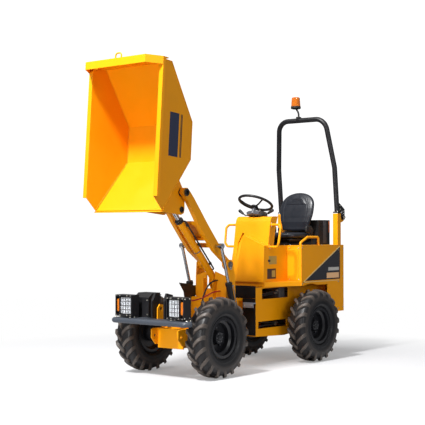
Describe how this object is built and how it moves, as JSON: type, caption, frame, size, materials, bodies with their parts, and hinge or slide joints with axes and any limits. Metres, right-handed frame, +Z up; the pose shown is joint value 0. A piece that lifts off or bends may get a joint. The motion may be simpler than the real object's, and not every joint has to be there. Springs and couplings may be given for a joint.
{
  "type": "site dumper",
  "caption": "Yellow articulated high-tip site dumper with its skip raised and tipped forward, lug tyres, open driver seat and folding roll bar",
  "frame": {"origin": "on the ground under the middle of the machine's box", "axes": "+X is the machine's left side, +Y its rear, +Z up"},
  "size_m": [0.97, 2.9174, 2.6616],
  "materials": {
    "yellow_paint": "gloss paint",
    "tyre_rubber": "matte rubber",
    "rim_grey": "satin paint",
    "black_paint": "satin paint",
    "grey_paint": "satin paint",
    "bright_steel": "polished",
    "pin_steel": "turned",
    "black_plastic": "moulded",
    "seat_cover": "vinyl cover",
    "amber": "clear amber lens",
    "hose_rubber": "smooth rubber",
    "red_sleeve": "braided sleeve"
  },
  "bodies": {
    "rear_chassis": {"rear_frame": "yellow_paint", "rear_axle": "black_paint", "front_step": "grey_paint", "operator_floor": "yellow_paint", "console": "yellow_paint", "body_front": "yellow_paint", "body_side_left": "yellow_paint", "body_side_right": "yellow_paint", "deck": "yellow_paint", "rear_cover": "yellow_paint", "engine_block": "black_paint", "vent_box": "black_plastic", "seat_base": "black_plastic", "seat_cushion": "seat_cover", "seat_back": "seat_cover", "steering_column": "black_plastic", "control_levers": "black_plastic", "grab_rails": "yellow_paint", "deck_rails": "yellow_paint", "rops_posts": "yellow_paint"},
    "front_chassis": {"front_frame": "yellow_paint", "front_axle": "black_paint", "front_pins": "pin_steel", "tip_ram_mount": "yellow_paint", "front_ear": "yellow_paint", "bumper": "grey_paint", "front_cover": "black_paint", "skip_rests": "black_paint", "hose_guard": "black_paint", "head_lamps": "black_plastic", "turn_lamps": "amber", "tower_hose": "hose_rubber", "lamp_hose": "red_sleeve"},
    "lift_arms": {"lift_arms": "yellow_paint"},
    "skip_carrier": {"skip_shaft": "pin_steel"},
    "skip": {"skip": "yellow_paint", "skip_bracket": "yellow_paint"},
    "tip_barrel": {"tip_ram_barrel": "yellow_paint", "tip_hose": "hose_rubber"},
    "tip_rod": {"tip_ram_rod": "bright_steel"},
    "lift_barrel_left": {"lift_ram_barrel_left": "black_paint"},
    "lift_rod_left": {"lift_ram_rod_left": "bright_steel"},
    "lift_barrel_right": {"lift_ram_barrel_right": "black_paint"},
    "lift_rod_right": {"lift_ram_rod_right": "bright_steel"},
    "steer_barrel": {"steer_ram_barrel": "black_paint"},
    "steer_rod": {"steer_ram_rod": "bright_steel"},
    "roll_bar": {"rops_hoop": "black_paint", "beacon": "amber"},
    "steering_wheel": {"steering_wheel": "black_plastic"},
    "wheel_front_left": {"tyre_front_left": "tyre_rubber", "rim_front_left": "rim_grey"},
    "wheel_front_right": {"tyre_front_right": "tyre_rubber", "rim_front_right": "rim_grey"},
    "wheel_rear_left": {"tyre_rear_left": "tyre_rubber", "rim_rear_left": "rim_grey"},
    "wheel_rear_right": {"tyre_rear_right": "tyre_rubber", "rim_rear_right": "rim_grey"}
  },
  "joints": [
    {"name": "steer", "type": "hinge", "parent": "rear_chassis", "child": "front_chassis", "pos_m": [0, 0.098, 0.48], "axis": [0, 0, 1], "range_deg": [-35, 35]},
    {"name": "lift", "type": "hinge", "parent": "front_chassis", "child": "lift_arms", "pos_m": [0, -0.177, 0.928], "axis": [-1, 0, 0], "range_deg": [-59.4, 0]},
    {"name": "skip_level", "type": "hinge", "parent": "lift_arms", "child": "skip_carrier", "pos_m": [0, -0.758, 1.551], "axis": [1, 0, 0], "range_deg": [-60, 0.6]},
    {"name": "tip", "type": "hinge", "parent": "skip_carrier", "child": "skip", "pos_m": [0, -0.758, 1.551], "axis": [1, 0, 0], "range_deg": [-86, 0]},
    {"name": "tip_barrel_swing", "type": "hinge", "parent": "front_chassis", "child": "tip_barrel", "pos_m": [0, -0.1716, 0.78307], "axis": [-1, 0, 0], "range_deg": [-60, 0.6]},
    {"name": "tip_rod_slide", "type": "slide", "parent": "tip_barrel", "child": "tip_rod", "axis": [0, -0.682, 0.7313], "range_m": [-0.002, 0.1989]},
    {"name": "roll_bar_fold", "type": "hinge", "parent": "rear_chassis", "child": "roll_bar", "pos_m": [0, 1.43, 1.362], "axis": [-1, 0, 0], "range_deg": [0, 150]},
    {"name": "steering_wheel_turn", "type": "hinge", "parent": "rear_chassis", "child": "steering_wheel", "pos_m": [0, 0.42, 1.443], "axis": [0, 0.4067, 0.9135], "range_deg": [-541, 541]},
    {"name": "steer_barrel_swing", "type": "hinge", "parent": "rear_chassis", "child": "steer_barrel", "pos_m": [-0.12, 0.268, 0.318], "axis": [0, 0, 1], "range_deg": [-17.02, 17.02]},
    {"name": "steer_rod_slide", "type": "slide", "parent": "steer_barrel", "child": "steer_rod", "axis": [0, -1, 0], "range_m": [-0.0732, 0.0732]},
    {"name": "lift_barrel_left_swing", "type": "hinge", "parent": "front_chassis", "child": "lift_barrel_left", "pos_m": [0.222, -0.164, 0.462], "axis": [-1, 0, 0], "range_deg": [-15.67, 0.4]},
    {"name": "lift_rod_left_slide", "type": "slide", "parent": "lift_barrel_left", "child": "lift_rod_left", "axis": [0, -0.2985, 0.9544], "range_m": [-0.2, 0.002]},
    {"name": "lift_barrel_right_swing", "type": "hinge", "parent": "front_chassis", "child": "lift_barrel_right", "pos_m": [-0.222, -0.164, 0.462], "axis": [-1, 0, 0], "range_deg": [-15.67, 0.4]},
    {"name": "lift_rod_right_slide", "type": "slide", "parent": "lift_barrel_right", "child": "lift_rod_right", "axis": [0, -0.2985, 0.9544], "range_m": [-0.2, 0.002]},
    {"name": "wheel_front_left_turn", "type": "hinge", "parent": "front_chassis", "child": "wheel_front_left", "pos_m": [0.395, -0.632, 0.338], "axis": [1, 0, 0], "continuous": true},
    {"name": "wheel_front_right_turn", "type": "hinge", "parent": "front_chassis", "child": "wheel_front_right", "pos_m": [-0.395, -0.632, 0.338], "axis": [1, 0, 0], "continuous": true},
    {"name": "wheel_rear_left_turn", "type": "hinge", "parent": "rear_chassis", "child": "wheel_rear_left", "pos_m": [0.395, 0.828, 0.338], "axis": [1, 0, 0], "continuous": true},
    {"name": "wheel_rear_right_turn", "type": "hinge", "parent": "rear_chassis", "child": "wheel_rear_right", "pos_m": [-0.395, 0.828, 0.338], "axis": [1, 0, 0], "continuous": true}
  ],
  "couplings": [
    {"joint": "skip_level", "follows": "lift", "ratio": 1},
    {"joint": "tip_barrel_swing", "follows": "lift", "ratio": 1},
    {"joint": "tip_rod_slide", "follows": "tip", "m_per_rad": -0.13118},
    {"joint": "steering_wheel_turn", "follows": "steer", "ratio": 15.4},
    {"joint": "steer_barrel_swing", "follows": "steer", "ratio": 0.47481},
    {"joint": "steer_rod_slide", "follows": "steer", "m_per_rad": 0.11813},
    {"joint": "lift_barrel_left_swing", "follows": "lift", "ratio": 0.25705},
    {"joint": "lift_rod_left_slide", "follows": "lift", "m_per_rad": 0.19099},
    {"joint": "lift_barrel_right_swing", "follows": "lift", "ratio": 0.25705},
    {"joint": "lift_rod_right_slide", "follows": "lift", "m_per_rad": 0.19099}
  ]
}
